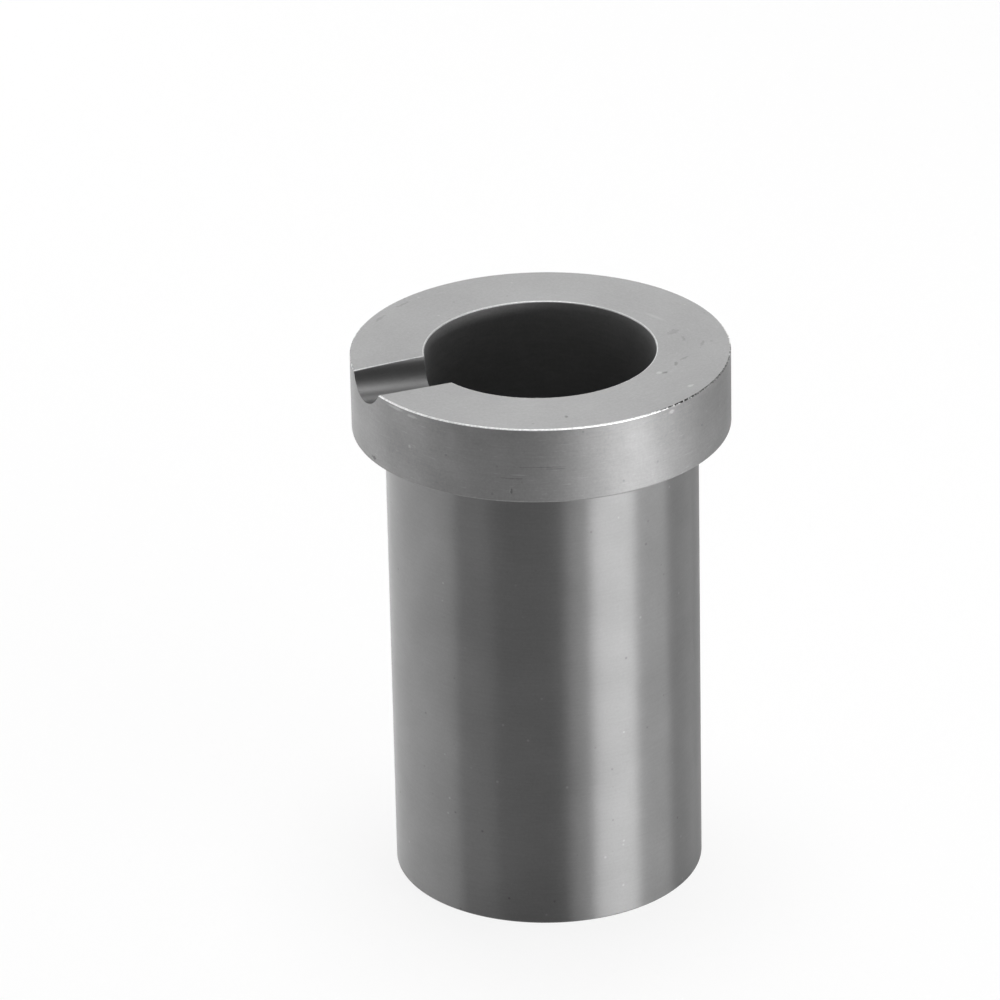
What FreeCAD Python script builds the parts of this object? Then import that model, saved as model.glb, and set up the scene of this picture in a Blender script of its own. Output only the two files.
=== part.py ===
import FreeCAD, Part
import math
import os
import Sketcher

# Flanged melting crucible
# One solid, turned from a bar of fine-grained graphite: a straight body that stands on its
# flat foot, a wider collar at the top, a blind chamber bored from above, and a round-bottomed
# pouring channel milled through the collar, which slopes down into the chamber.
# Millimetres. The chamber's axis is Z, the foot stands on Z = 0, the channel lies along -X.

# Driving sizes, each with what it measures
SIZES = [
    ("total_height", "86.5", "foot to top face"),
    ("body_diameter", "48.0", "outside of the straight body"),
    ("collar_diameter", "58.0", "outside of the collar"),
    ("collar_height", "12.0", "thickness of the collar"),
    ("bore_diameter", "35.4", "inside of the melting chamber"),
    ("floor_thickness", "8.0", "graphite under the chamber"),
    ("bore_corner_radius", "5.0", "round between chamber wall and chamber floor"),
    ("collar_root_radius", "0.5", "round in the corner under the collar"),
    ("channel_radius", "5.65", "radius of the cutter that mills the channel"),
    ("channel_rim_depth", "2.95", "depth of the channel at the outside of the collar"),
    ("channel_bore_depth", "3.85", "depth of the channel where it enters the chamber"),
    ("rim_edge_break", "0.2", "chamfer round the outside of the top face"),
    ("bore_edge_break", "0.2", "chamfer round the mouth of the chamber"),
    ("channel_edge_break", "0.1", "chamfer along both top edges of the channel"),
    ("collar_edge_break", "0.2", "chamfer round the underside of the collar"),
    ("foot_edge_break", "0.2", "chamfer round the foot"),
]

# What the features take from the driving sizes
BODY_RADIUS = "Sizes.body_diameter / 2"
COLLAR_RADIUS = "Sizes.collar_diameter / 2"
BORE_RADIUS = "Sizes.bore_diameter / 2"
COLLAR_WALL = f"{COLLAR_RADIUS} - {BORE_RADIUS}"
COLLAR_UNDERSIDE = "Sizes.total_height - Sizes.collar_height"
CHANNEL_MOUTH = "Sizes.total_height - Sizes.channel_rim_depth"
CHANNEL_DROP = "Sizes.channel_bore_depth - Sizes.channel_rim_depth"
CHANNEL_SLOPE = f"atan(({CHANNEL_DROP}) / ({COLLAR_WALL}))"

# A sketch's own numbers for the ends and centre of a curve, for its two axes and for its origin
START, END, CENTRE = range(1, 4)
LEVEL_AXIS, UPRIGHT_AXIS = (-1, -2)
ORIGIN = (LEVEL_AXIS, START)

FULL_TURN = 360
UP = FreeCAD.Vector(0, 0, 1)

# An edge belongs to a place on the part when it lies this close to it
NEAR = 0.001


def make_sheet(doc):
    """The spreadsheet of driving sizes: a name, the value with its alias, and what it measures."""
    sheet = doc.addObject("Spreadsheet::Sheet", "Sizes")
    for row, (name, value, meaning) in enumerate(SIZES, start=1):
        sheet.set(f"A{row}", name)
        sheet.set(f"B{row}", value)
        sheet.setAlias(f"B{row}", name)
        sheet.set(f"C{row}", meaning)
    doc.recompute()
    return sheet


def make_sketch(body, name, role):
    """An empty sketch on the plane of the body's own origin that has this role."""
    plane = next(item for item in body.Origin.OriginFeatures if item.Role == role)
    sketch = body.newObject("Sketcher::SketchObject", name)
    sketch.AttachmentSupport = [(plane, "")]
    sketch.MapMode = "FlatFace"
    return sketch


def add_line(sketch, start, end):
    """A straight run of a sketch, held level or upright as it is drawn."""
    line = sketch.addGeometry(Part.LineSegment(FreeCAD.Vector(*start), FreeCAD.Vector(*end)), False)
    way = "Horizontal" if start[1] == end[1] else "Vertical"
    sketch.addConstraint(Sketcher.Constraint(way, line))
    return line


def join(sketch, kind, curves):
    """Joins each curve's end to the start of the next, by meeting or by running on smoothly."""
    for first, second in zip(curves, curves[1:]):
        sketch.addConstraint(Sketcher.Constraint(kind, first, END, second, START))


def add_size(sketch, name, kind, places, expression):
    """A named dimension of a sketch that follows the driving sizes."""
    value = float(sketch.evalExpression(expression))
    index = sketch.addConstraint(Sketcher.Constraint(kind, *places, value))
    sketch.renameConstraint(index, name)
    sketch.setExpression(f"Constraints.{name}", expression)


def add_blank(body, sheet):
    """The turned outside: body and collar as one stepped profile, revolved about the axis."""
    body_radius = sheet.body_diameter / 2
    collar_radius = sheet.collar_diameter / 2
    top = sheet.total_height
    underside = top - sheet.collar_height
    corners = [
        (0, 0),
        (body_radius, 0),
        (body_radius, underside),
        (collar_radius, underside),
        (collar_radius, top),
        (0, top),
    ]
    sketch = make_sketch(body, "blank_profile", "XZ_Plane")
    lines = [add_line(sketch, *ends) for ends in zip(corners, corners[1:] + corners[:1])]
    foot, side, ledge, rim, face, axis = lines
    join(sketch, "Coincident", lines + [foot])
    sketch.addConstraint(Sketcher.Constraint("Coincident", foot, START, *ORIGIN))
    add_size(sketch, "body_radius", "DistanceX", (*ORIGIN, side, START), BODY_RADIUS)
    add_size(sketch, "underside", "DistanceY", (*ORIGIN, ledge, START), COLLAR_UNDERSIDE)
    add_size(sketch, "collar_radius", "DistanceX", (*ORIGIN, rim, START), COLLAR_RADIUS)
    add_size(sketch, "top", "DistanceY", (*ORIGIN, face, START), "Sizes.total_height")
    blank = body.newObject("PartDesign::Revolution", "turned_blank")
    blank.Profile = sketch
    blank.ReferenceAxis = (sketch, ["V_Axis"])
    blank.Angle = FULL_TURN
    return blank


def add_chamber(body, sheet):
    """The blind melting chamber: a straight wall, a flat floor and a round between them."""
    bore_radius = sheet.bore_diameter / 2
    corner_radius = sheet.bore_corner_radius
    floor_radius = bore_radius - corner_radius
    low = sheet.floor_thickness
    high = low + corner_radius
    top = sheet.total_height
    sketch = make_sketch(body, "chamber_profile", "XZ_Plane")
    floor = add_line(sketch, (0, low), (floor_radius, low))
    circle = Part.Circle(FreeCAD.Vector(floor_radius, high), UP, corner_radius)
    corner = sketch.addGeometry(Part.ArcOfCircle(circle, -math.pi / 2, 0), False)
    wall = add_line(sketch, (bore_radius, high), (bore_radius, top))
    mouth = add_line(sketch, (bore_radius, top), (0, top))
    axis = add_line(sketch, (0, top), (0, low))
    join(sketch, "Tangent", [floor, corner, wall])
    join(sketch, "Coincident", [wall, mouth, axis, floor])
    sketch.addConstraint(Sketcher.Constraint("PointOnObject", axis, END, UPRIGHT_AXIS))
    add_size(sketch, "floor", "DistanceY", (*ORIGIN, floor, START), "Sizes.floor_thickness")
    add_size(sketch, "corner_radius", "Radius", (corner,), "Sizes.bore_corner_radius")
    add_size(sketch, "bore_radius", "DistanceX", (*ORIGIN, wall, START), BORE_RADIUS)
    add_size(sketch, "top", "DistanceY", (*ORIGIN, mouth, START), "Sizes.total_height")
    chamber = body.newObject("PartDesign::Groove", "melting_chamber")
    chamber.Profile = sketch
    chamber.ReferenceAxis = (sketch, ["V_Axis"])
    chamber.Angle = FULL_TURN
    return chamber


def add_channel(body, sheet):
    """The pouring channel: the cutter's round section, leaned by the slope and run through the collar.

    The section stands at the outside of the collar with its lowest point on the channel's floor.
    It runs inwards as far as the middle of the chamber, where there is nothing left to cut, and
    outwards far enough to clear the collar above the floor.
    """
    sketch = make_sketch(body, "channel_section", "YZ_Plane")
    level = FreeCAD.Rotation(FreeCAD.Vector(1, 0, 0), 1)
    sketch.AttachmentOffset = FreeCAD.Placement(FreeCAD.Vector(), level)
    sketch.setExpression("AttachmentOffset.Base.y", CHANNEL_MOUTH)
    sketch.setExpression("AttachmentOffset.Base.z", f"-{COLLAR_RADIUS}")
    sketch.setExpression("AttachmentOffset.Rotation.Angle", CHANNEL_SLOPE)
    radius = sheet.channel_radius
    section = sketch.addGeometry(Part.Circle(FreeCAD.Vector(0, radius), UP, radius), False)
    sketch.addConstraint(Sketcher.Constraint("PointOnObject", section, CENTRE, UPRIGHT_AXIS))
    sketch.addConstraint(Sketcher.Constraint("PointOnObject", *ORIGIN, section))
    add_size(sketch, "cutter_radius", "Radius", (section,), "Sizes.channel_radius")
    channel = body.newObject("PartDesign::Pocket", "pouring_channel")
    channel.Profile = sketch
    channel.SideType = "Two sides"
    channel.Type = "Length"
    channel.Type2 = "Length"
    channel.Reversed = True
    channel.setExpression("Length", COLLAR_RADIUS)
    channel.setExpression("Length2", "Sizes.channel_radius")
    return channel


def on_circle(radius, height):
    """A test for points on a level circle about the axis."""

    def belongs(point):
        return abs(math.hypot(point.x, point.y) - radius) < NEAR and abs(point.z - height) < NEAR

    return belongs


def beside_channel(half_width, height):
    """A test for points on the channel's two long edges in the top face."""

    def belongs(point):
        return point.x < 0 and abs(point.y) < half_width and abs(point.z - height) < NEAR

    return belongs


def edges_on(shape, belongs):
    """Names of the edges whose middle and ends all belong to a place on the part."""
    names = []
    for number, edge in enumerate(shape.Edges, start=1):
        middle = edge.valueAt((edge.FirstParameter + edge.LastParameter) / 2)
        if all(belongs(point) for point in [middle] + [end.Point for end in edge.Vertexes]):
            names.append(f"Edge{number}")
    if not names:
        raise RuntimeError("no edge lies where one is to be finished")
    return names


def add_finish(body, kind, name, size, belongs):
    """A chamfer or a fillet on those edges of the body as it stands that belong to a place."""
    edges = edges_on(body.Tip.Shape, belongs)
    base = body.Tip
    finish = body.newObject(f"PartDesign::{kind}", name)
    finish.Base = (base, edges)
    finish.setExpression({"Chamfer": "Size", "Fillet": "Radius"}[kind], f"Sizes.{size}")
    return finish


def settle(doc, body, feature):
    """Works a new feature out, makes it the body's last, and gives the volume that it leaves."""
    doc.recompute()
    body.Tip = feature
    doc.recompute()
    return feature.Shape.Volume


def make_crucible(doc, sheet):
    """The one piece: the turned blank, its chamber, its channel, and then its edges."""
    body = doc.addObject("PartDesign::Body", "crucible")
    body.Label = "crucible"
    body.Placement = FreeCAD.Placement()
    blank = settle(doc, body, add_blank(body, sheet))
    bored = settle(doc, body, add_chamber(body, sheet))
    milled = settle(doc, body, add_channel(body, sheet))
    if not blank > bored > milled:
        raise RuntimeError("the chamber or the channel removes nothing")

    top = sheet.total_height
    underside = top - sheet.collar_height
    body_radius = sheet.body_diameter / 2
    collar_radius = sheet.collar_diameter / 2
    bore_radius = sheet.bore_diameter / 2
    finishes = [
        ("Fillet", "collar_root", "collar_root_radius", on_circle(body_radius, underside)),
        ("Chamfer", "foot_edge", "foot_edge_break", on_circle(body_radius, 0)),
        ("Chamfer", "collar_edge", "collar_edge_break", on_circle(collar_radius, underside)),
        ("Chamfer", "rim_edge", "rim_edge_break", on_circle(collar_radius, top)),
        ("Chamfer", "bore_edge", "bore_edge_break", on_circle(bore_radius, top)),
        ("Chamfer", "channel_edges", "channel_edge_break", beside_channel(sheet.channel_radius, top)),
    ]
    for kind, name, size, belongs in finishes:
        settle(doc, body, add_finish(body, kind, name, size, belongs))
    return body


def check_document(doc, bodies):
    """Stops on any failed object, and on any sub-part that is not one valid solid."""
    for item in doc.Objects:
        if "Invalid" in item.State or "Error" in item.State:
            raise RuntimeError(f"{item.Label} failed: {item.State}")
    for body in bodies:
        shape = body.Shape
        if shape.isNull() or not shape.isValid() or len(shape.Solids) != 1:
            raise RuntimeError(f"{body.Label} is not one valid solid")


def main():
    """Builds the document and writes each sub-part to the file that carries its label."""
    doc = FreeCAD.newDocument("crucible")
    sheet = make_sheet(doc)
    bodies = [make_crucible(doc, sheet)]
    doc.recompute()
    check_document(doc, bodies)
    os.makedirs("parts", exist_ok=True)
    for body in bodies:
        body.Shape.exportStep(os.path.join("parts", f"{body.Label}.step"))
        print(f"{body.Label}: {body.Shape.Volume:.1f} cubic millimetres")


main()
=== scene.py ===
import math
from collections import namedtuple

import bpy
from bpy.props import FloatProperty, FloatVectorProperty, IntProperty, PointerProperty
from mathutils import Matrix, Vector


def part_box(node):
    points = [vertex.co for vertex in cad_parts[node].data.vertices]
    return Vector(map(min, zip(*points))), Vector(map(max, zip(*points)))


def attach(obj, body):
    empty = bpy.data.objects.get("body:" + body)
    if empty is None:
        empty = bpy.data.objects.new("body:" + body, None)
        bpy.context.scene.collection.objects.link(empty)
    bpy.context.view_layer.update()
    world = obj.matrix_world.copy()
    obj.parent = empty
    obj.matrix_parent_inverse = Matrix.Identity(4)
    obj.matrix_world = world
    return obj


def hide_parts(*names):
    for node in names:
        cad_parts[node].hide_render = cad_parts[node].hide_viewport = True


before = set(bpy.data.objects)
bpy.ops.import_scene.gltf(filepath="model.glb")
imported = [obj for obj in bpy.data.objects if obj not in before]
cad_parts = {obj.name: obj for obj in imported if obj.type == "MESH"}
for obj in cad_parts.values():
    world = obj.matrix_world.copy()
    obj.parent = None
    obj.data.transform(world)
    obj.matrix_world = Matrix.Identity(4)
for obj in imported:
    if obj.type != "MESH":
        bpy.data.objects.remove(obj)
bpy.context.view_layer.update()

bl_info = {
    "name": "Graphite crucible",
    "version": (1, 0, 0),
    "blender": (4, 5, 0),
    "location": "View3D > Sidebar > Crucible",
    "description": "Turns, bores and mills a flanged graphite crucible, and sets it on a studio sweep",
    "category": "Object",
}

CAD_LOW, CAD_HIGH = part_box("crucible")

# Blender works in metres, and the crucible's drawing is in millimetres
MM = 0.001


def from_hex(text):
    """Linear colour of an sRGB hex value."""
    parts = [int(text[i:i + 2], 16) / 255 for i in (0, 2, 4)]
    return tuple(c / 12.92 if c <= 0.04045 else ((c + 0.055) / 1.055) ** 2.4 for c in parts)


def add(tree, kind, settings=None, inputs=None):
    """Adds one node with its settings. Each input is given a value, or the socket that it is linked from."""
    node = tree.nodes.new(kind)
    for name, value in (settings or {}).items():
        setattr(node, name, value)
    for name, value in (inputs or {}).items():
        if isinstance(value, bpy.types.NodeSocket):
            tree.links.new(value, node.inputs[name])
        else:
            node.inputs[name].default_value = value
    return node


def length(name, description, default):
    """A size of the crucible that a user may change, kept in metres."""
    return FloatProperty(
        name=name, description=description, default=default, min=0.0, precision=5,
        subtype="DISTANCE", unit="LENGTH",
    )


def tone(name, description, default):
    """A colour that a user may change, given as sRGB hex and kept linear."""
    return FloatVectorProperty(
        name=name, description=description, default=from_hex(default), size=3, min=0.0, max=1.0,
        subtype="COLOR",
    )


def radiance(name, description, default):
    """How bright a lamp's face or the room is: 1 is white in the room, and 1.27 times white on a lamp."""
    return FloatProperty(name=name, description=description, default=default, min=0.0)


class CrucibleSizes(bpy.types.PropertyGroup):
    """What the lathe and the mill are set to."""

    total_height: length("Total height", "Foot to top face", CAD_HIGH.z - CAD_LOW.z)
    collar_diameter: length("Collar diameter", "Outside of the collar", CAD_HIGH.x - CAD_LOW.x)
    collar_height: length("Collar height", "Thickness of the collar", 12.0 * MM)
    body_diameter: length("Body diameter", "Outside of the straight body", 48.0 * MM)
    bore_diameter: length("Bore diameter", "Inside of the melting chamber", 35.4 * MM)
    floor_thickness: length("Floor thickness", "Graphite under the chamber", 8.0 * MM)
    bore_corner: length("Bore corner", "Round between chamber wall and chamber floor", 5.0 * MM)
    collar_root: length("Collar root", "Round in the corner under the collar", 0.5 * MM)
    edge_break: length("Edge break", "Broken edges of foot, collar, rim and bore", 0.2 * MM)
    channel_radius: length("Channel radius", "Radius of the cutter that mills the channel", 5.65 * MM)
    rim_depth: length("Depth at rim", "Depth of the channel at the outside of the collar", 2.95 * MM)
    bore_depth: length("Depth at bore", "Depth of the channel where it enters the chamber", 3.85 * MM)
    channel_break: length("Channel break", "Broken long edges of the channel", 0.1 * MM)
    break_radius: length("Break radius", "Radius of the cutter that breaks those edges", 8.0 * MM)
    segments: IntProperty(
        name="Segments", description="Faces round the whole circle", default=480, min=24, max=960,
    )


class GraphiteLooks(bpy.types.PropertyGroup):
    """Colours of the graphite where each tool has left it, with painted highlights on the rim edge and the
    mouth edges.
    """

    # The rim edge's pale colour is a painted highlight, a bright line along the broken edge
    rim_edge: tone("Rim edge", "Broken edge round the top of the collar, burnished", "d6d6d6")
    # The mouth edges' pale colour is a painted highlight, a faint bright line along the bore's and the
    # channel's broken edges
    mouth_edge: tone("Mouth edges painted highlight", "Broken edges of the bore and of the pouring channel", "c6c6c6")
    low_edge: tone("Lower edges", "Round under the collar, and broken edges there and at the foot", "828282")
    body: tone("Turned body", "Straight outside, turned with a fine feed", "7a7a7a")
    collar: tone("Turned collar", "Outside of the collar, a little more matt", "7e7e7e")
    faced: tone("Faced", "Top face, ledge and foot, faced flat", "9c9c9c")
    bored: tone("Bored", "Wall and floor of the chamber", "8c8c8c")
    milled: tone("Milled", "Surface of the pouring channel", "717171")


class StudioSettings(bpy.types.PropertyGroup):
    """The sweep, the lamps and the lens."""

    sweep: tone("Sweep", "White seamless paper", "f2f2f2")
    key: radiance("Key", "Strip box at the right, which draws the bright band", 22.0)
    lead: radiance("Lead", "Narrow strip box before the key, which softens the band's dark side", 6.0)
    side: radiance("Side", "Strip box beyond the key", 7.5)
    far: radiance("Far", "Dim strip box beyond the side one", 1.8)
    left: radiance("Left", "Strip box at the left", 4.8)
    fill: radiance("Fill", "Dim strip box between the left one and the camera", 1.5)
    corner: radiance("Corner", "Strip box behind at the left, which lights the edge of the body", 4.2)
    rear: radiance("Rear", "Wide box behind, which the top face mirrors", 1.1)
    above: radiance("Above", "Box overhead, which draws the band along the channel", 8.5)
    room: radiance("Room", "Dim walls of the room round the sweep", 0.2)
    lens: FloatProperty(
        name="Lens", description="Focal length on a 36 mm sensor", default=240.56, min=1.0,
        subtype="DISTANCE_CAMERA", unit="CAMERA",
    )


# How one tool has left the graphite. Roughness and anisotropy are the shader's own. The tool's marks
# run round the axis and are stacked along the height or the radius, one feed apart. A real feed of
# about 0.1 mm wouldn't show, so it is drawn two to five times as coarse. Each pattern has the change of
# tone that it gives and its relief in millimetres.
Finish = namedtuple("Finish", "key name roughness anisotropy stacked feed patterns")

FINISHES = (
    # The collar's broken top edge, with a painted highlight: its colour is made pale so that it draws a thin
    # bright line round the collar
    Finish("rim_edge", "graphite_burnished_edge", 0.55, 0.0, "height", 0.4, {
        "marks": (0.05, 0.0), "grain": (0.2, 0.0005), "clouds": (0.06, 0.0),
    }),
    # The broken edges of the bore and the channel, with a painted highlight: their colour is made pale so
    # that it draws a faint line round the mouth
    Finish("mouth_edge", "graphite_rubbed_edge", 0.55, 0.0, "height", 0.4, {
        "marks": (0.05, 0.0), "grain": (0.12, 0.0005), "clouds": (0.06, 0.0),
    }),
    # Broken by the tool and seldom touched: as grey as the walls beside it. The round in the corner
    # under the collar is left like this too.
    Finish("low_edge", "graphite_broken_edge", 0.6, 0.0, "height", 0.4, {
        "marks": (0.05, 0.0), "grain": (0.1, 0.0005), "clouds": (0.05, 0.0),
    }),
    # Turned with a fine feed: a satin grey whose highlights are drawn out upright into soft bands
    Finish("body", "graphite_fine_turned", 0.47, 1.0, "height", 0.30, {
        "marks": (0.035, 0.0008), "grain": (0.03, 0.0003), "clouds": (0.04, 0.0), "specks": (0.32, 0.003),
    }),
    # Turned and then handled: softer bands, with short scratches that run round the collar
    Finish("collar", "graphite_turned_and_handled", 0.6, 0.65, "height", 0.25, {
        "marks": (0.05, 0.0012), "grain": (0.05, 0.0005), "clouds": (0.1, 0.0), "specks": (0.2, 0.003),
        "scratches": (0.14, 0.0015),
    }),
    # Faced flat: an even pale grey with faint arcs and a few pits
    Finish("faced", "graphite_faced", 0.6, 0.2, "radius", 0.30, {
        "marks": (0.02, 0.0005), "grain": (0.04, 0.0005), "clouds": (0.03, 0.0), "specks": (0.16, 0.003),
        "scratches": (0.06, 0.0006),
    }),
    # Bored deep and left matt by the drill: it looks nearly black, because little light comes back out
    Finish("bored", "graphite_bored", 0.75, 0.2, "height", 0.5, {
        "marks": (0.06, 0.0015), "grain": (0.05, 0.0008), "clouds": (0.05, 0.0),
    }),
    # Milled by a round cutter along the channel: smoother, so that one soft band lies along its floor
    Finish("milled", "graphite_milled", 0.34, 0.0, "height", 0.4, {
        "marks": (0.04, 0.0004), "grain": (0.03, 0.0003), "clouds": (0.08, 0.0),
    }),
)

# Single marks of wear, and the two places where the rim's painted highlight fades, read off the photo: the
# finish that they lie on, their middle, their radii along the mark, level across it and up, the turn of the
# mark's length from +X towards +Y, and the change of tone and the relief that they give. Millimetres and
# degrees.
Mark = namedtuple("Mark", "finish middle radii turn change depth")

MARKS = (
    # Knocks and smears on the top face, at the right of the mouth
    Mark("faced", (13.5, -16.1, 86.5), (0.55, 0.35, 0.5), 35.0, -0.38, -0.03),
    Mark("faced", (12.7, -15.7, 86.5), (0.6, 0.4, 0.5), 35.0, 0.3, 0.0),
    Mark("faced", (16.4, -13.8, 86.5), (0.9, 0.35, 0.5), 60.0, -0.26, -0.02),
    Mark("faced", (18.3, -12.6, 86.5), (1.1, 0.3, 0.5), 20.0, -0.19, -0.01),
    Mark("faced", (15.0, -22.0, 86.5), (0.7, 0.4, 0.5), 20.0, 0.3, 0.0),
    Mark("faced", (23.0, -8.9, 86.5), (1.6, 0.3, 0.5), 55.0, -0.15, -0.01),
    Mark("faced", (21.2, -6.0, 86.5), (1.3, 0.3, 0.5), 80.0, -0.15, -0.01),
    Mark("faced", (20.9, -3.0, 86.5), (1.5, 0.8, 0.5), 30.0, -0.15, 0.0),
    Mark("faced", (20.6, 3.4, 86.5), (2.4, 0.45, 0.5), 110.0, 0.1, 0.0),
    # A pit before the mouth, and two faint rubs behind the channel
    Mark("faced", (-6.2, -24.0, 86.5), (0.3, 0.45, 0.5), -15.0, -0.34, -0.05),
    Mark("faced", (-17.7, 20.9, 86.5), (1.6, 0.35, 0.5), 35.0, -0.17, -0.01),
    Mark("faced", (-12.6, 24.3, 86.5), (1.8, 0.35, 0.5), 25.0, -0.15, -0.01),
    # Scratches that run round the front of the collar, with a nick under them
    Mark("collar", (-11.9, -26.5, 80.3), (4.6, 1.0, 0.1), -24.0, -0.22, -0.01),
    Mark("collar", (-9.6, -27.4, 80.0), (2.6, 1.0, 0.1), -18.0, -0.19, -0.01),
    Mark("collar", (-15.5, -24.5, 78.4), (2.3, 1.0, 0.12), -32.0, -0.22, -0.01),
    Mark("collar", (-14.5, -25.1, 79.0), (1.4, 1.0, 0.14), -30.0, 0.26, 0.0),
    Mark("collar", (-15.5, -24.5, 76.3), (0.25, 1.0, 0.6), -32.0, -0.41, -0.04),
    # A chip at the collar's lower edge, small light knocks, and a smear below the rim
    Mark("collar", (-28.8, -3.2, 75.4), (0.8, 1.0, 0.35), -84.0, -0.45, -0.06),
    Mark("collar", (-26.5, -11.7, 80.5), (0.35, 1.0, 0.35), -66.0, 0.38, 0.0),
    Mark("collar", (-27.5, -9.1, 85.9), (2.2, 1.0, 0.3), -72.0, 0.38, 0.0),
    Mark("collar", (-26.3, -12.3, 85.6), (1.2, 1.0, 0.3), -67.0, 0.34, 0.0),
    Mark("collar", (9.4, -27.4, 85.6), (0.7, 1.0, 0.35), 19.0, 0.45, 0.0),
    Mark("collar", (-22.5, -18.3, 83.6), (1.0, 1.0, 2.2), -51.0, 0.08, 0.0),
    # The rim's painted highlight is darkened away at both sides
    Mark("rim_edge", (19.4, -21.6, 86.5), (17.0, 17.0, 5.0), 0.0, -0.78, 0.0),
    Mark("rim_edge", (-27.6, 9.0, 86.5), (14.0, 14.0, 5.0), 0.0, -0.5, 0.0),
)

# A mark is whole within this share of its radii, and the grain makes its border ragged by this share
MARK_HEART = 0.5
MARK_RAGGED = 0.3

# The noise behind a pattern: its size in millimetres, its detail and roughness, the part of its range
# that is used, and what the low end of that part becomes, where the high end becomes 1
Noise = namedtuple("Noise", "size detail roughness low high least")

NOISES = {
    # Marks of the tool, as high as the finish's own feed
    "marks": Noise(None, 3.0, 0.6, 0.25, 0.75, -1.0),
    # Short scratches, of which only the highest peaks of the noise show
    "scratches": Noise(0.22, 1.0, 0.6, 0.66, 0.74, 0.0),
    # Pores between the grains; drawn at 0.4 mm, because the real 0.02 mm wouldn't show
    "grain": Noise(0.4, 2.0, 0.55, 0.3, 0.7, -1.0),
    # Slow changes of tone in the pressed block and from handling
    "clouds": Noise(11.0, 3.0, 0.55, 0.3, 0.7, -1.0),
}

# The patterns that are drawn out round the axis, with how many marks follow each other in one radian
DRAWN_OUT = {"marks": 6.0, "scratches": 17.0}

# Pits and specks up to 0.5 mm across, about two in each square centimetre: the size in millimetres of
# the cell that each has to itself, the shares of it at which a speck begins to fade and is gone, and
# the part of the cells' random numbers in which dark specks turn to light ones
SPECK_CELL = 3.0
SPECK_HEART = 0.04
SPECK_EDGE = 0.09
SPECK_DARK = 0.45
SPECK_LIGHT = 0.65

# Paler clouds are a little smoother
CLOUD_ROUGHNESS = -0.01

# The shader's tangent runs round the axis, as the tool's marks do. A quarter turn of the anisotropy
# draws highlights out across them.
ACROSS = 0.25


def patterns_of(tree, place, finish):
    """A finish's patterns, each as a field from -1 or 0 to 1, and the level way out from the axis."""
    axes = add(tree, "ShaderNodeSeparateXYZ", None, {0: place}).outputs
    flat = add(tree, "ShaderNodeCombineXYZ", None, {"X": axes["X"], "Y": axes["Y"]}).outputs[0]
    out = add(tree, "ShaderNodeVectorMath", {"operation": "LENGTH"}, {0: flat}).outputs["Value"]
    way = add(tree, "ShaderNodeVectorMath", {"operation": "NORMALIZE"}, {0: flat}).outputs[0]
    stacked = axes["Z"] if finish.stacked == "height" else out
    fields = {}
    for name, noise in NOISES.items():
        if name not in finish.patterns:
            continue
        if name in DRAWN_OUT:
            around = add(
                tree, "ShaderNodeVectorMath", {"operation": "SCALE"}, {0: way, "Scale": DRAWN_OUT[name]}
            ).outputs[0]
            spread = add(tree, "ShaderNodeSeparateXYZ", None, {0: around}).outputs
            height = (noise.size or finish.feed) * MM
            rows = add(tree, "ShaderNodeMath", {"operation": "DIVIDE"}, {0: stacked, 1: height}).outputs[0]
            vector = add(
                tree, "ShaderNodeCombineXYZ", None, {"X": spread["X"], "Y": spread["Y"], "Z": rows}
            ).outputs[0]
            scale = 1.0
        else:
            vector = place
            scale = 1.0 / (noise.size * MM)
        peaks = add(tree, "ShaderNodeTexNoise", None, {
            "Vector": vector, "Scale": scale, "Detail": noise.detail, "Roughness": noise.roughness,
        }).outputs[0]
        fields[name] = add(tree, "ShaderNodeMapRange", None, {
            "Value": peaks, "From Min": noise.low, "From Max": noise.high,
            "To Min": noise.least, "To Max": 1.0,
        }).outputs[0]
    if "specks" in finish.patterns:
        cells = add(
            tree, "ShaderNodeTexVoronoi", None, {"Vector": place, "Scale": 1.0 / (SPECK_CELL * MM)}
        ).outputs
        spot = add(tree, "ShaderNodeMapRange", None, {
            "Value": cells["Distance"], "From Min": SPECK_HEART, "From Max": SPECK_EDGE,
            "To Min": 1.0, "To Max": 0.0,
        }).outputs[0]
        kind = add(tree, "ShaderNodeSeparateXYZ", None, {0: cells["Color"]}).outputs["X"]
        shade = add(tree, "ShaderNodeMapRange", None, {
            "Value": kind, "From Min": SPECK_DARK, "From Max": SPECK_LIGHT, "To Min": -1.0, "To Max": 1.0,
        }).outputs[0]
        fields["specks"] = add(
            tree, "ShaderNodeMath", {"operation": "MULTIPLY"}, {0: spot, 1: shade}
        ).outputs[0]
    return fields, flat


def mark_field(tree, place, mark, grain):
    """One mark as a field that is 1 in its middle and 0 outside it, with a ragged edge."""
    seen = add(tree, "ShaderNodeMapping", {"vector_type": "TEXTURE"}, {
        "Vector": place, "Location": tuple(c * MM for c in mark.middle),
        "Rotation": (0.0, 0.0, math.radians(mark.turn)), "Scale": tuple(r * MM for r in mark.radii),
    }).outputs[0]
    away = add(tree, "ShaderNodeVectorMath", {"operation": "LENGTH"}, {0: seen}).outputs["Value"]
    ragged = add(
        tree, "ShaderNodeMath", {"operation": "MULTIPLY_ADD"}, {0: grain, 1: MARK_RAGGED, 2: away}
    ).outputs[0]
    return add(tree, "ShaderNodeMapRange", None, {
        "Value": ragged, "From Min": MARK_HEART, "From Max": 1.0, "To Min": 1.0, "To Max": 0.0,
    }).outputs[0]


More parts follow.
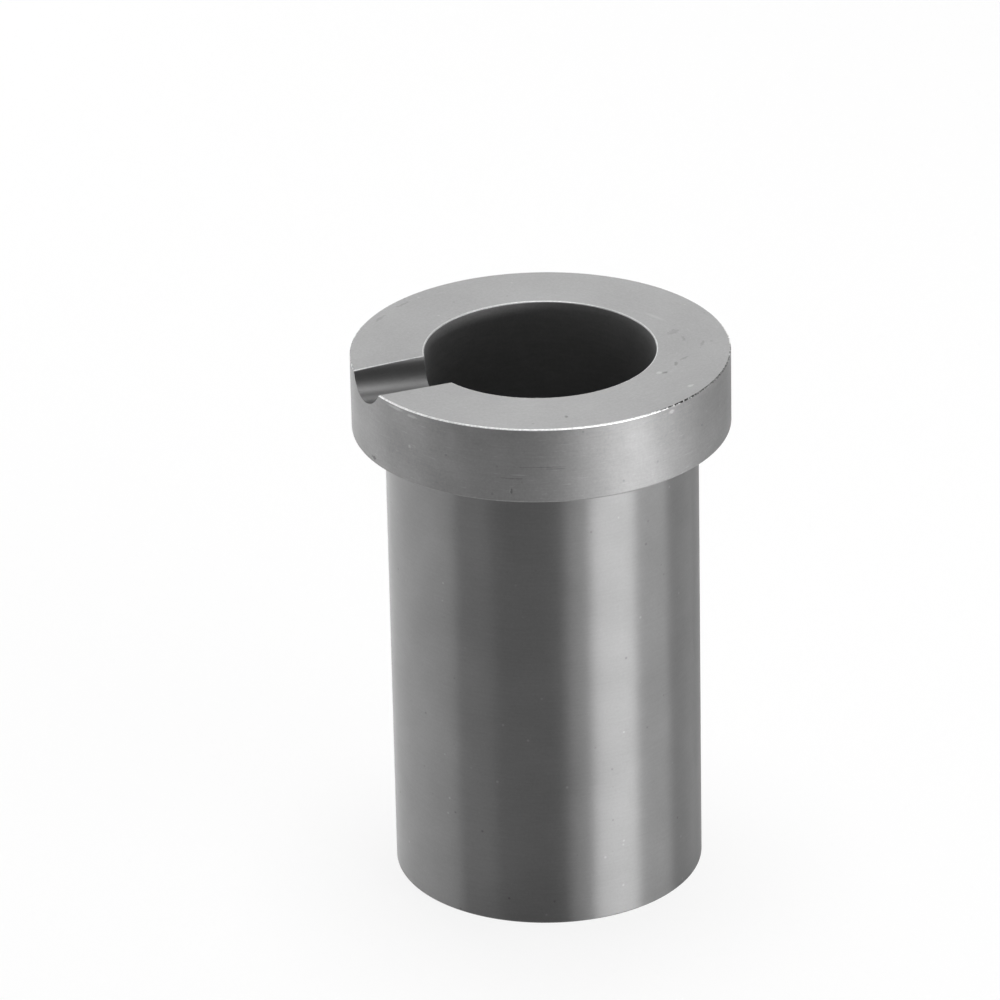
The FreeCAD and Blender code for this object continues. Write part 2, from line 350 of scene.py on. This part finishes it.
def graphite(finish, colour):
    """Machined graphite, a half metal: dark, satin, and grey like unpolished steel where light strikes it."""
    material = bpy.data.materials.new(finish.name)
    material.use_nodes = True
    tree = material.node_tree
    tree.nodes.clear()
    place = add(tree, "ShaderNodeTexCoord").outputs["Object"]
    fields, flat = patterns_of(tree, place, finish)
    layers = [(fields[name], change, depth) for name, (change, depth) in finish.patterns.items()]
    layers += [
        (mark_field(tree, place, mark, fields["grain"]), mark.change, mark.depth)
        for mark in MARKS if mark.finish == finish.key
    ]
    shade = 1.0
    relief = 0.0
    for field, change, depth in layers:
        shade = add(
            tree, "ShaderNodeMath", {"operation": "MULTIPLY_ADD"}, {0: field, 1: change, 2: shade}
        ).outputs[0]
        if depth:
            relief = add(
                tree, "ShaderNodeMath", {"operation": "MULTIPLY_ADD"}, {0: field, 1: depth, 2: relief}
            ).outputs[0]
    tint = add(
        tree, "ShaderNodeVectorMath", {"operation": "SCALE"}, {0: tuple(colour), "Scale": shade}
    ).outputs[0]
    rough = add(
        tree, "ShaderNodeMath", {"operation": "MULTIPLY_ADD"},
        {0: fields["clouds"], 1: CLOUD_ROUGHNESS, 2: finish.roughness},
    ).outputs[0]
    bump = add(tree, "ShaderNodeBump", None, {"Height": relief, "Distance": 1.0 * MM}).outputs[0]
    round_axis = add(
        tree, "ShaderNodeVectorMath", {"operation": "CROSS_PRODUCT"}, {0: (0.0, 0.0, 1.0), 1: flat}
    ).outputs[0]
    tangent = add(
        tree, "ShaderNodeVectorTransform",
        {"vector_type": "VECTOR", "convert_from": "OBJECT", "convert_to": "WORLD"}, {0: round_axis},
    ).outputs[0]
    shader = add(tree, "ShaderNodeBsdfPrincipled", None, {
        "Base Color": tint, "Metallic": 1.0, "Roughness": rough, "Normal": bump,
        "Anisotropic": finish.anisotropy, "Anisotropic Rotation": ACROSS, "Tangent": tangent,
    })
    add(tree, "ShaderNodeOutputMaterial", None, {"Surface": shader.outputs[0]})
    return material


SIZE_INPUTS = (
    ("Total Height", "total_height"),
    ("Collar Diameter", "collar_diameter"),
    ("Collar Height", "collar_height"),
    ("Body Diameter", "body_diameter"),
    ("Bore Diameter", "bore_diameter"),
    ("Floor Thickness", "floor_thickness"),
    ("Bore Corner", "bore_corner"),
    ("Collar Root", "collar_root"),
    ("Edge Break", "edge_break"),
    ("Channel Radius", "channel_radius"),
    ("Depth at Rim", "rim_depth"),
    ("Depth at Bore", "bore_depth"),
    ("Channel Break", "channel_break"),
    ("Break Radius", "break_radius"),
)

# A wall's normal rises less than the first, and a flat face's normal rises more than the second
WALL_BELOW = 0.02
FLAT_ABOVE = 0.999

# Sizes worked out from the inputs, in order: name, operation, and the two values it is worked out from
WORKED_OUT = (
    ("Body Radius", "MULTIPLY", "Body Diameter", 0.5),
    ("Collar Radius", "MULTIPLY", "Collar Diameter", 0.5),
    ("Bore Radius", "MULTIPLY", "Bore Diameter", 0.5),
    ("Underside", "SUBTRACT", "Total Height", "Collar Height"),
    # The channel's bed: its slope, and how far the cutter's axis passes above the top face
    ("Wall", "SUBTRACT", "Collar Radius", "Bore Radius"),
    ("Drop", "SUBTRACT", "Depth at Bore", "Depth at Rim"),
    ("Fall", "DIVIDE", "Drop", "Wall"),
    ("Slope", "ARCTANGENT", "Fall", 0.0),
    ("Upright", "COSINE", "Slope", 0.0),
    ("Rise", "DIVIDE", "Channel Radius", "Upright"),
    ("Bed at Rim", "SUBTRACT", "Rise", "Depth at Rim"),
    ("Bed at Bore", "SUBTRACT", "Rise", "Depth at Bore"),
    # Half the channel's width in the top face at each end, and the wider cutter's axis above each
    ("Channel Square", "MULTIPLY", "Channel Radius", "Channel Radius"),
    ("Bed Square at Rim", "MULTIPLY", "Bed at Rim", "Bed at Rim"),
    ("Bed Square at Bore", "MULTIPLY", "Bed at Bore", "Bed at Bore"),
    ("Width Square at Rim", "SUBTRACT", "Channel Square", "Bed Square at Rim"),
    ("Width Square at Bore", "SUBTRACT", "Channel Square", "Bed Square at Bore"),
    ("Width at Rim", "SQRT", "Width Square at Rim", 0.0),
    ("Width at Bore", "SQRT", "Width Square at Bore", 0.0),
    ("Wide at Rim", "ADD", "Width at Rim", "Channel Break"),
    ("Wide at Bore", "ADD", "Width at Bore", "Channel Break"),
    ("Break Square", "MULTIPLY", "Break Radius", "Break Radius"),
    ("Wide Square at Rim", "MULTIPLY", "Wide at Rim", "Wide at Rim"),
    ("Wide Square at Bore", "MULTIPLY", "Wide at Bore", "Wide at Bore"),
    ("Break Rise Square at Rim", "SUBTRACT", "Break Square", "Wide Square at Rim"),
    ("Break Rise Square at Bore", "SUBTRACT", "Break Square", "Wide Square at Bore"),
    ("Break at Rim", "SQRT", "Break Rise Square at Rim", 0.0),
    ("Break at Bore", "SQRT", "Break Rise Square at Bore", 0.0),
    # The sheet that is wound round the axis
    ("Columns", "ADD", "Segments", 1.0),
    ("Point Middle", "ADD", "Index", 0.5),
    ("Row Part", "DIVIDE", "Point Middle", "Columns"),
    ("Row", "FLOOR", "Row Part", 0.0),
    ("Row Start", "MULTIPLY", "Row", "Columns"),
    ("Column", "SUBTRACT", "Index", "Row Start"),
    ("Turn Part", "DIVIDE", "Column", "Segments"),
    ("Turn", "MULTIPLY", "Turn Part", math.tau),
    # Where each face lies, to tell the finishes apart
    ("Steepness", "ABSOLUTE", "Face Normal", 0.0),
    ("Is Wall", "LESS_THAN", "Steepness", WALL_BELOW),
    ("Is Flat", "GREATER_THAN", "Steepness", FLAT_ABOVE),
    ("Both Radii", "ADD", "Body Radius", "Collar Radius"),
    ("Between", "MULTIPLY", "Both Radii", 0.5),
    ("Is Outer", "GREATER_THAN", "Out", "Between"),
    ("Is Collar", "MULTIPLY", "Is Wall", "Is Outer"),
    ("Both Heights", "ADD", "Underside", "Total Height"),
    ("Middle Height", "MULTIPLY", "Both Heights", 0.5),
    ("Is Low", "LESS_THAN", "Up", "Middle Height"),
    ("Both Rims", "ADD", "Bore Radius", "Collar Radius"),
    ("Middle Out", "MULTIPLY", "Both Rims", 0.5),
    ("Is Mouth", "LESS_THAN", "Out", "Middle Out"),
    ("Half Floor", "MULTIPLY", "Floor Thickness", 0.5),
    ("Is Inner", "LESS_THAN", "Out", "Bore Radius"),
    ("Is Above", "GREATER_THAN", "Up", "Half Floor"),
    ("Is Chamber", "MULTIPLY", "Is Inner", "Is Above"),
)

# The turned profile, from the axis at the foot to the axis on the chamber's floor: radius, height and
# the round at that corner
PROFILE = (
    (0.0, 0.0, 0.0),
    ("Body Radius", 0.0, "Edge Break"),
    ("Body Radius", "Underside", "Collar Root"),
    ("Collar Radius", "Underside", "Edge Break"),
    ("Collar Radius", "Total Height", "Edge Break"),
    ("Bore Radius", "Total Height", "Edge Break"),
    ("Bore Radius", "Floor Thickness", "Bore Corner"),
    (0.0, "Floor Thickness", 0.0),
)

# The finish of each face is kept as its number in FINISHES, where the three kinds of edge come first.
# Later choices stand over earlier ones.
NUMBERS = {finish.key: number for number, finish in enumerate(FINISHES)}
EDGE_KINDS = 3
FACE_FINISHES = (
    # Faces that no later choice takes are the collar's broken top edge, which carries the rim's painted
    # highlight
    ("rim_edge", True),
    ("low_edge", "Is Low"),
    ("mouth_edge", "Is Mouth"),
    ("body", "Is Wall"),
    ("collar", "Is Collar"),
    ("faced", "Is Flat"),
    ("bored", "Is Chamber"),
)
# An edge of the mesh where a broken edge meets another surface has one broken face of its two
BORDER_SHARE = 0.5
BORDER_SLACK = 0.3

STEPS_PER_ROUND = 8
MERGED_WITHIN = 0.001 * MM
CUTTER_FACES = 192
# Length of a cutter over the collar's radius: from outside the collar to well inside the chamber
CUTTER_LENGTH = 1.2
SHARP_ANGLE = math.radians(13.0)


def crucible_tree():
    """The rule of the shape: a profile with rounded corners, turned, then cut by two leaning cutters."""
    tree = bpy.data.node_groups.new("crucible_turned_and_milled", "GeometryNodeTree")
    face = tree.interface
    for name, _ in SIZE_INPUTS:
        face.new_socket(name=name, in_out="INPUT", socket_type="NodeSocketFloat")
    face.new_socket(name="Segments", in_out="INPUT", socket_type="NodeSocketInt")
    for finish in FINISHES:
        face.new_socket(name=finish.name, in_out="INPUT", socket_type="NodeSocketMaterial")
    face.new_socket(name="Geometry", in_out="OUTPUT", socket_type="NodeSocketGeometry")

    given = add(tree, "NodeGroupInput").outputs
    place = add(tree, "GeometryNodeInputPosition").outputs[0]
    spot = add(tree, "ShaderNodeSeparateXYZ", None, {0: place}).outputs
    level = add(tree, "ShaderNodeCombineXYZ", None, {"X": spot["X"], "Y": spot["Y"]}).outputs[0]
    facing = add(tree, "GeometryNodeInputNormal").outputs[0]
    known = {socket.name: socket for socket in given}
    known["Index"] = add(tree, "GeometryNodeInputIndex").outputs[0]
    known["Up"] = spot["Z"]
    known["Out"] = add(tree, "ShaderNodeVectorMath", {"operation": "LENGTH"}, {0: level}).outputs["Value"]
    known["Face Normal"] = add(tree, "ShaderNodeSeparateXYZ", None, {0: facing}).outputs["Z"]
    for name, operation, first, second in WORKED_OUT:
        values = {0: known.get(first, first), 1: known.get(second, second)}
        known[name] = add(tree, "ShaderNodeMath", {"operation": operation}, values).outputs[0]

    # Drawn: the profile's corners, strung on a line and rounded
    places = add(tree, "GeometryNodeIndexSwitch", {"data_type": "VECTOR"}, {"Index": known["Index"]})
    rounds = add(tree, "GeometryNodeIndexSwitch", {"data_type": "FLOAT"}, {"Index": known["Index"]})
    for _ in range(len(PROFILE) - 2):
        places.index_switch_items.new()
        rounds.index_switch_items.new()
    for number, (out, up, size) in enumerate(PROFILE, start=1):
        corner = add(tree, "ShaderNodeCombineXYZ", None, {"X": known.get(out, out), "Z": known.get(up, up)})
        tree.links.new(corner.outputs[0], places.inputs[number])
        if size:
            tree.links.new(known[size], rounds.inputs[number])
    line = add(tree, "GeometryNodeMeshLine", None, {"Count": len(PROFILE)}).outputs[0]
    drawn = add(tree, "GeometryNodeSetPosition", None, {0: line, "Position": places.outputs[0]}).outputs[0]
    curve = add(tree, "GeometryNodeMeshToCurve", None, {0: drawn}).outputs[0]
    rounded = add(
        tree, "GeometryNodeFilletCurve", {"mode": "POLY"},
        {"Curve": curve, "Count": STEPS_PER_ROUND, "Radius": rounds.outputs[0]},
    ).outputs[0]

    # Turned: a sheet with one row for each point of the profile, wound round the axis
    count = add(tree, "GeometryNodeAttributeDomainSize", {"component": "CURVE"}, {0: rounded}).outputs
    sheet = add(
        tree, "GeometryNodeMeshGrid", None,
        {"Vertices X": count["Point Count"], "Vertices Y": known["Columns"]},
    ).outputs["Mesh"]
    sampled = add(
        tree, "GeometryNodeSampleIndex", {"data_type": "FLOAT_VECTOR", "domain": "POINT"},
        {"Geometry": rounded, "Value": place, "Index": known["Row"]},
    ).outputs[0]
    turned = add(
        tree, "ShaderNodeVectorRotate", {"rotation_type": "Z_AXIS"},
        {"Vector": sampled, "Angle": known["Turn"]},
    ).outputs[0]
    wound = add(tree, "GeometryNodeSetPosition", None, {0: sheet, "Position": turned}).outputs[0]
    shape = add(tree, "GeometryNodeMergeByDistance", None, {0: wound, "Distance": MERGED_WITHIN}).outputs[0]
    for key, chosen in FACE_FINISHES:
        shape = add(
            tree, "GeometryNodeStoreNamedAttribute", {"data_type": "INT", "domain": "FACE"},
            {0: shape, "Selection": known.get(chosen, chosen), "Name": "finish", "Value": NUMBERS[key]},
        ).outputs[0]

    # Milled: the bed's cutter, and then a wider one that breaks the two long edges
    bar_length = add(
        tree, "ShaderNodeMath", {"operation": "MULTIPLY"}, {0: known["Collar Radius"], 1: CUTTER_LENGTH}
    ).outputs[0]
    rim = add(
        tree, "ShaderNodeMath", {"operation": "MULTIPLY"}, {0: known["Collar Radius"], 1: -1.0}
    ).outputs[0]
    for key, radius, at_rim, at_bore in (
        ("milled", "Channel Radius", "Bed at Rim", "Bed at Bore"),
        # The wider cutter leaves the channel's broken long edges in the mouth edges' colour, a painted
        # highlight
        ("mouth_edge", "Break Radius", "Break at Rim", "Break at Bore"),
    ):
        bar = add(
            tree, "GeometryNodeMeshCylinder", None,
            {"Vertices": CUTTER_FACES, "Radius": known[radius], "Depth": bar_length},
        ).outputs["Mesh"]
        drop = add(
            tree, "ShaderNodeMath", {"operation": "SUBTRACT"}, {0: known[at_rim], 1: known[at_bore]}
        ).outputs[0]
        angle = add(tree, "ShaderNodeMath", {"operation": "ARCTAN2"}, {0: drop, 1: known["Wall"]}).outputs[0]
        lean = add(tree, "ShaderNodeMath", {"operation": "SUBTRACT"}, {0: angle, 1: math.pi / 2}).outputs[0]
        height = add(
            tree, "ShaderNodeMath", {"operation": "ADD"}, {0: known["Total Height"], 1: known[at_rim]}
        ).outputs[0]
        middle = add(tree, "ShaderNodeCombineXYZ", None, {"X": rim, "Z": height}).outputs[0]
        turn = add(tree, "ShaderNodeCombineXYZ", None, {"Y": lean}).outputs[0]
        cutter = add(
            tree, "GeometryNodeTransform", None, {0: bar, "Translation": middle, "Rotation": turn}
        ).outputs[0]
        cutter = add(
            tree, "GeometryNodeStoreNamedAttribute", {"data_type": "INT", "domain": "FACE"},
            {0: cutter, "Name": "finish", "Value": NUMBERS[key]},
        ).outputs[0]
        shape = add(
            tree, "GeometryNodeMeshBoolean", {"operation": "DIFFERENCE", "solver": "EXACT"},
            {"Mesh 1": shape, "Mesh 2": cutter},
        ).outputs["Mesh"]

    # Shaded smooth along each surface, and sharp where a broken edge or a cutter's path begins
    number = add(tree, "GeometryNodeInputNamedAttribute", {"data_type": "INT"}, {"Name": "finish"}).outputs[0]
    broken = add(
        tree, "FunctionNodeCompare", {"data_type": "INT", "operation": "LESS_THAN"},
        {2: number, 3: EDGE_KINDS},
    ).outputs[0]
    share = add(
        tree, "GeometryNodeFieldOnDomain", {"data_type": "FLOAT", "domain": "FACE"}, {0: broken}
    ).outputs[0]
    border = add(
        tree, "ShaderNodeMath", {"operation": "COMPARE"}, {0: share, 1: BORDER_SHARE, 2: BORDER_SLACK}
    ).outputs[0]
    bend = add(tree, "GeometryNodeInputMeshEdgeAngle").outputs["Unsigned Angle"]
    bent = add(tree, "ShaderNodeMath", {"operation": "GREATER_THAN"}, {0: bend, 1: SHARP_ANGLE}).outputs[0]
    sharp = add(tree, "ShaderNodeMath", {"operation": "MAXIMUM"}, {0: border, 1: bent}).outputs[0]
    shape = add(
        tree, "GeometryNodeSetShadeSmooth", {"domain": "FACE"}, {0: shape, "Shade Smooth": True}
    ).outputs[0]
    shape = add(
        tree, "GeometryNodeSetShadeSmooth", {"domain": "EDGE"},
        {0: shape, "Selection": sharp, "Shade Smooth": False},
    ).outputs[0]

    shape = add(tree, "GeometryNodeRealizeInstances", None, {0: shape}).outputs[0]
    for finish in FINISHES:
        chosen = add(
            tree, "FunctionNodeCompare", {"data_type": "INT", "operation": "EQUAL"},
            {2: number, 3: NUMBERS[finish.key]},
        ).outputs[0]
        shape = add(
            tree, "GeometryNodeSetMaterial", None,
            {0: shape, "Selection": chosen, "Material": known[finish.name]},
        ).outputs[0]
    add(tree, "NodeGroupOutput", None, {"Geometry": shape})
    return tree


class CRUCIBLE_OT_turn(bpy.types.Operator):
    """Turn, bore and mill the crucible in place of its CAD solid."""

    bl_idname = "crucible.turn"
    bl_label = "Turn the crucible"

    def execute(self, context):
        scene = context.scene
        tree = crucible_tree()
        blank = bpy.data.objects.new("crucible_blank", bpy.data.meshes.new("crucible_blank"))
        scene.collection.objects.link(blank)
        modifier = blank.modifiers.new("turned_and_milled", "NODES")
        modifier.node_group = tree
        sockets = {item.name: item.identifier for item in tree.interface.items_tree if item.in_out == "INPUT"}
        for name, size in SIZE_INPUTS:
            modifier[sockets[name]] = getattr(scene.crucible_sizes, size)
        modifier[sockets["Segments"]] = scene.crucible_sizes.segments
        for finish in FINISHES:
            modifier[sockets[finish.name]] = graphite(finish, getattr(scene.crucible_looks, finish.key))
        context.view_layer.update()
        evaluated = blank.evaluated_get(context.evaluated_depsgraph_get())
        mesh = bpy.data.meshes.new_from_object(evaluated)
        bpy.data.objects.remove(blank)
        if not mesh.polygons:
            raise RuntimeError("the crucible's tree gave no faces")
        mesh.name = "graphite_crucible"
        mesh.attributes.remove(mesh.attributes["finish"])
        mesh.materials.pop(index=0)
        piece = bpy.data.objects.new("graphite_crucible", mesh)
        scene.collection.objects.link(piece)
        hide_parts("crucible")
        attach(piece, "root")
        return {"FINISHED"}


# The camera as it stood for the photo, fitted to the crucible's own edges: distance and height from
# the centre of the foot, turn round the crucible from -Y, then the aim's turn, dip and tilt
CAMERA_DISTANCE = 924.898 * MM
CAMERA_HEIGHT = 506.654 * MM
CAMERA_TURN = math.radians(-23.09)
AIM_TURN = math.radians(-0.4088)
AIM_DIP = math.radians(25.7207)
AIM_TILT = math.radians(-1.215)
# The sensor's width in millimetres, and the nearest and farthest that the camera sees in metres
SENSOR_WIDTH = 36.0
NEAREST_SEEN = 0.01
FARTHEST_SEEN = 20.0


def add_camera(scene, lens):
    """The camera at the photo's viewing angle."""
    data = bpy.data.cameras.new("camera")
    data.lens = lens
    data.sensor_width = SENSOR_WIDTH
    data.clip_start = NEAREST_SEEN
    data.clip_end = FARTHEST_SEEN
    camera = bpy.data.objects.new("camera", data)
    scene.collection.objects.link(camera)
    turn = AIM_TURN - CAMERA_TURN
    ahead = Vector((
        math.sin(turn) * math.cos(AIM_DIP), math.cos(turn) * math.cos(AIM_DIP), -math.sin(AIM_DIP),
    ))
    level_right = Vector((math.cos(turn), -math.sin(turn), 0.0))
    level_up = level_right.cross(ahead)
    right = math.cos(AIM_TILT) * level_right + math.sin(AIM_TILT) * level_up
    up = math.cos(AIM_TILT) * level_up - math.sin(AIM_TILT) * level_right
    stand = Vector((math.sin(CAMERA_TURN), -math.cos(CAMERA_TURN), 0.0)) * CAMERA_DISTANCE
    stand.z = CAMERA_HEIGHT
    camera.matrix_world = Matrix.Translation(stand) @ Matrix((right, up, -ahead)).transposed().to_4x4()
    scene.camera = camera


# Soft boxes: azimuth to the right of the camera and elevation, in degrees, then distance, width and
# height in metres. Each faces the crucible's middle.
SOFT_BOXES = {
    "key": (48.0, 2.2, 0.6, 0.36, 0.12),
    "lead": (22.0, 2.2, 0.6, 0.15, 0.12),
    "side": (79.0, 2.2, 0.6, 0.35, 0.12),
    "far": (112.0, 2.2, 0.6, 0.35, 0.12),
    "left": (-92.0, 2.2, 0.6, 0.66, 0.12),
    "fill": (-48.0, 2.2, 0.6, 0.25, 0.12),
    "corner": (-138.0, 2.2, 0.6, 0.4, 0.12),
    "rear": (180.0, 30.0, 0.7, 0.8, 0.4),
    "above": (180.0, 84.0, 0.6, 0.25, 0.25),
}

# Watts for each square metre of a lamp's face at a brightness of 1. Pi watts would make the face as
# bright as white, and 4 watts make it 1.27 times as bright.
LAMP_WATTS = 4.0


def soft_box(scene, name, brightness):
    """A rectangular lamp whose whole face has one radiance."""
    azimuth, elevation, distance, width, height = SOFT_BOXES[name]
    data = bpy.data.lights.new(f"{name}_soft_box", "AREA")
    data.shape = "RECTANGLE"
    data.size = width
    data.size_y = height
    data.energy = brightness * LAMP_WATTS * width * height
    lamp = bpy.data.objects.new(f"{name}_soft_box", data)
    scene.collection.objects.link(lamp)
    turn = CAMERA_TURN + math.radians(azimuth)
    rise = math.radians(elevation)
    away = Vector((math.sin(turn) * math.cos(rise), -math.cos(turn) * math.cos(rise), math.sin(rise)))
    lamp.location = Vector((0.0, 0.0, (CAD_LOW.z + CAD_HIGH.z) / 2)) + away * distance
    lamp.rotation_mode = "QUATERNION"
    lamp.rotation_quaternion = (-away).to_track_quat("-Z", "Y")
    lamp.visible_camera = False


# The share of the sweep that each kind of ray sees as plain white; the rest is lit paper, which keeps
# the shadow
WHITE_SHARES = {"Is Camera Ray": 0.85, "Is Glossy Ray": 0.35, "Is Transmission Ray": 0.35}
SWEEP_DROP = 0.02 * MM
# The paper lies flat round the crucible, and then rises: high behind it, and low before the camera.
# Metres.
FLAT_REACH = 1.0
LOW_RISE = 0.15
HIGH_RISE = 1.1
COVE = 0.3
COVE_STEPS = 8
SWEEP_SIDES = 72


def sweep_points():
    """Rings of the paper, from its flat middle up its cove to its top edge."""
    points = [(0.0, 0.0, -SWEEP_DROP)]
    for step in range(COVE_STEPS + 2):
        bend = math.pi / 2 * min(step / COVE_STEPS, 1.0)
        for side in range(SWEEP_SIDES):
            turn = math.tau * side / SWEEP_SIDES
            behind = (1.0 - math.cos(turn - CAMERA_TURN)) / 2
            rise = LOW_RISE + (HIGH_RISE - LOW_RISE) * behind
            cove = min(COVE, rise)
            out = FLAT_REACH + cove * math.sin(bend)
            up = rise if step > COVE_STEPS else cove * (1.0 - math.cos(bend)) - SWEEP_DROP
            points.append((out * math.sin(turn), -out * math.cos(turn), up))
    return points


def sweep_faces():
    """Faces between the rings, turned to the crucible."""
    faces = []
    for side in range(SWEEP_SIDES):
        after = (side + 1) % SWEEP_SIDES
        faces.append((0, 1 + side, 1 + after))
        for ring in range(COVE_STEPS + 1):
            low = 1 + ring * SWEEP_SIDES
            high = low + SWEEP_SIDES
            faces.append((low + side, high + side, high + after, low + after))
    return faces


def sweep_material(colour):
    """Matt white background paper, seen as white, and clear from below so that the foot can be looked at."""
    material = bpy.data.materials.new("matt_white_paper")
    material.use_nodes = True
    tree = material.node_tree
    tree.nodes.clear()
    paper = add(tree, "ShaderNodeBsdfDiffuse", None, {"Color": (*colour, 1.0)}).outputs[0]
    white = add(tree, "ShaderNodeEmission", None, {"Color": (1.0, 1.0, 1.0, 1.0), "Strength": 1.0}).outputs[0]
    clear = add(tree, "ShaderNodeBsdfTransparent").outputs[0]
    path = add(tree, "ShaderNodeLightPath").outputs
    below = add(tree, "ShaderNodeNewGeometry").outputs["Backfacing"]
    share = 0.0
    for ray, part in WHITE_SHARES.items():
        seen = add(tree, "ShaderNodeMath", {"operation": "MULTIPLY"}, {0: path[ray], 1: part}).outputs[0]
        share = add(tree, "ShaderNodeMath", {"operation": "MAXIMUM"}, {0: seen, 1: share}).outputs[0]
    lit = add(tree, "ShaderNodeMixShader", None, {0: share, 1: paper, 2: white}).outputs[0]
    surface = add(tree, "ShaderNodeMixShader", None, {0: below, 1: lit, 2: clear}).outputs[0]
    add(tree, "ShaderNodeOutputMaterial", None, {"Surface": surface})
    return material


class CRUCIBLE_OT_stage(bpy.types.Operator):
    """Set up the white sweep, the soft boxes, the room and the camera."""

    bl_idname = "crucible.stage"
    bl_label = "Set the stage"

    def execute(self, context):
        scene = context.scene
        studio = scene.crucible_studio
        mesh = bpy.data.meshes.new("sweep")
        mesh.from_pydata(sweep_points(), [], sweep_faces())
        mesh.shade_smooth()
        mesh.materials.append(sweep_material(studio.sweep))
        sweep = bpy.data.objects.new("sweep", mesh)
        scene.collection.objects.link(sweep)
        for name in SOFT_BOXES:
            soft_box(scene, name, getattr(studio, name))
        world = bpy.data.worlds.new("room")
        world.use_nodes = True
        world.node_tree.nodes.clear()
        walls = add(world.node_tree, "ShaderNodeBackground", None, {
            "Color": (1.0, 1.0, 1.0, 1.0), "Strength": studio.room,
        }).outputs[0]
        add(world.node_tree, "ShaderNodeOutputWorld", None, {"Surface": walls})
        scene.world = world
        add_camera(scene, studio.lens)
        scene.view_settings.view_transform = "Standard"
        return {"FINISHED"}


class CRUCIBLE_PT_panel(bpy.types.Panel):
    """Lists the crucible's steps in the sidebar."""

    bl_idname = "CRUCIBLE_PT_panel"
    bl_label = "Crucible"
    bl_space_type = "VIEW_3D"
    bl_region_type = "UI"
    bl_category = "Crucible"

    def draw(self, context):
        scene = context.scene
        for groups, operator in (
            ((scene.crucible_sizes, scene.crucible_looks), CRUCIBLE_OT_turn.bl_idname),
            ((scene.crucible_studio,), CRUCIBLE_OT_stage.bl_idname),
        ):
            box = self.layout.box()
            for group in groups:
                for name in group.__annotations__:
                    box.prop(group, name)
            box.operator(operator)


CLASSES = (
    CrucibleSizes,
    GraphiteLooks,
    StudioSettings,
    CRUCIBLE_OT_turn,
    CRUCIBLE_OT_stage,
    CRUCIBLE_PT_panel,
)


def register():
    for item in CLASSES:
        bpy.utils.register_class(item)
    bpy.types.Scene.crucible_sizes = PointerProperty(type=CrucibleSizes)
    bpy.types.Scene.crucible_looks = PointerProperty(type=GraphiteLooks)
    bpy.types.Scene.crucible_studio = PointerProperty(type=StudioSettings)


def unregister():
    del bpy.types.Scene.crucible_sizes
    del bpy.types.Scene.crucible_looks
    del bpy.types.Scene.crucible_studio
    for item in reversed(CLASSES):
        bpy.utils.unregister_class(item)


def main():
    """Runs the steps in order."""
    register()
    bpy.ops.crucible.turn()
    bpy.ops.crucible.stage()


if __name__ == "__main__":
    main()
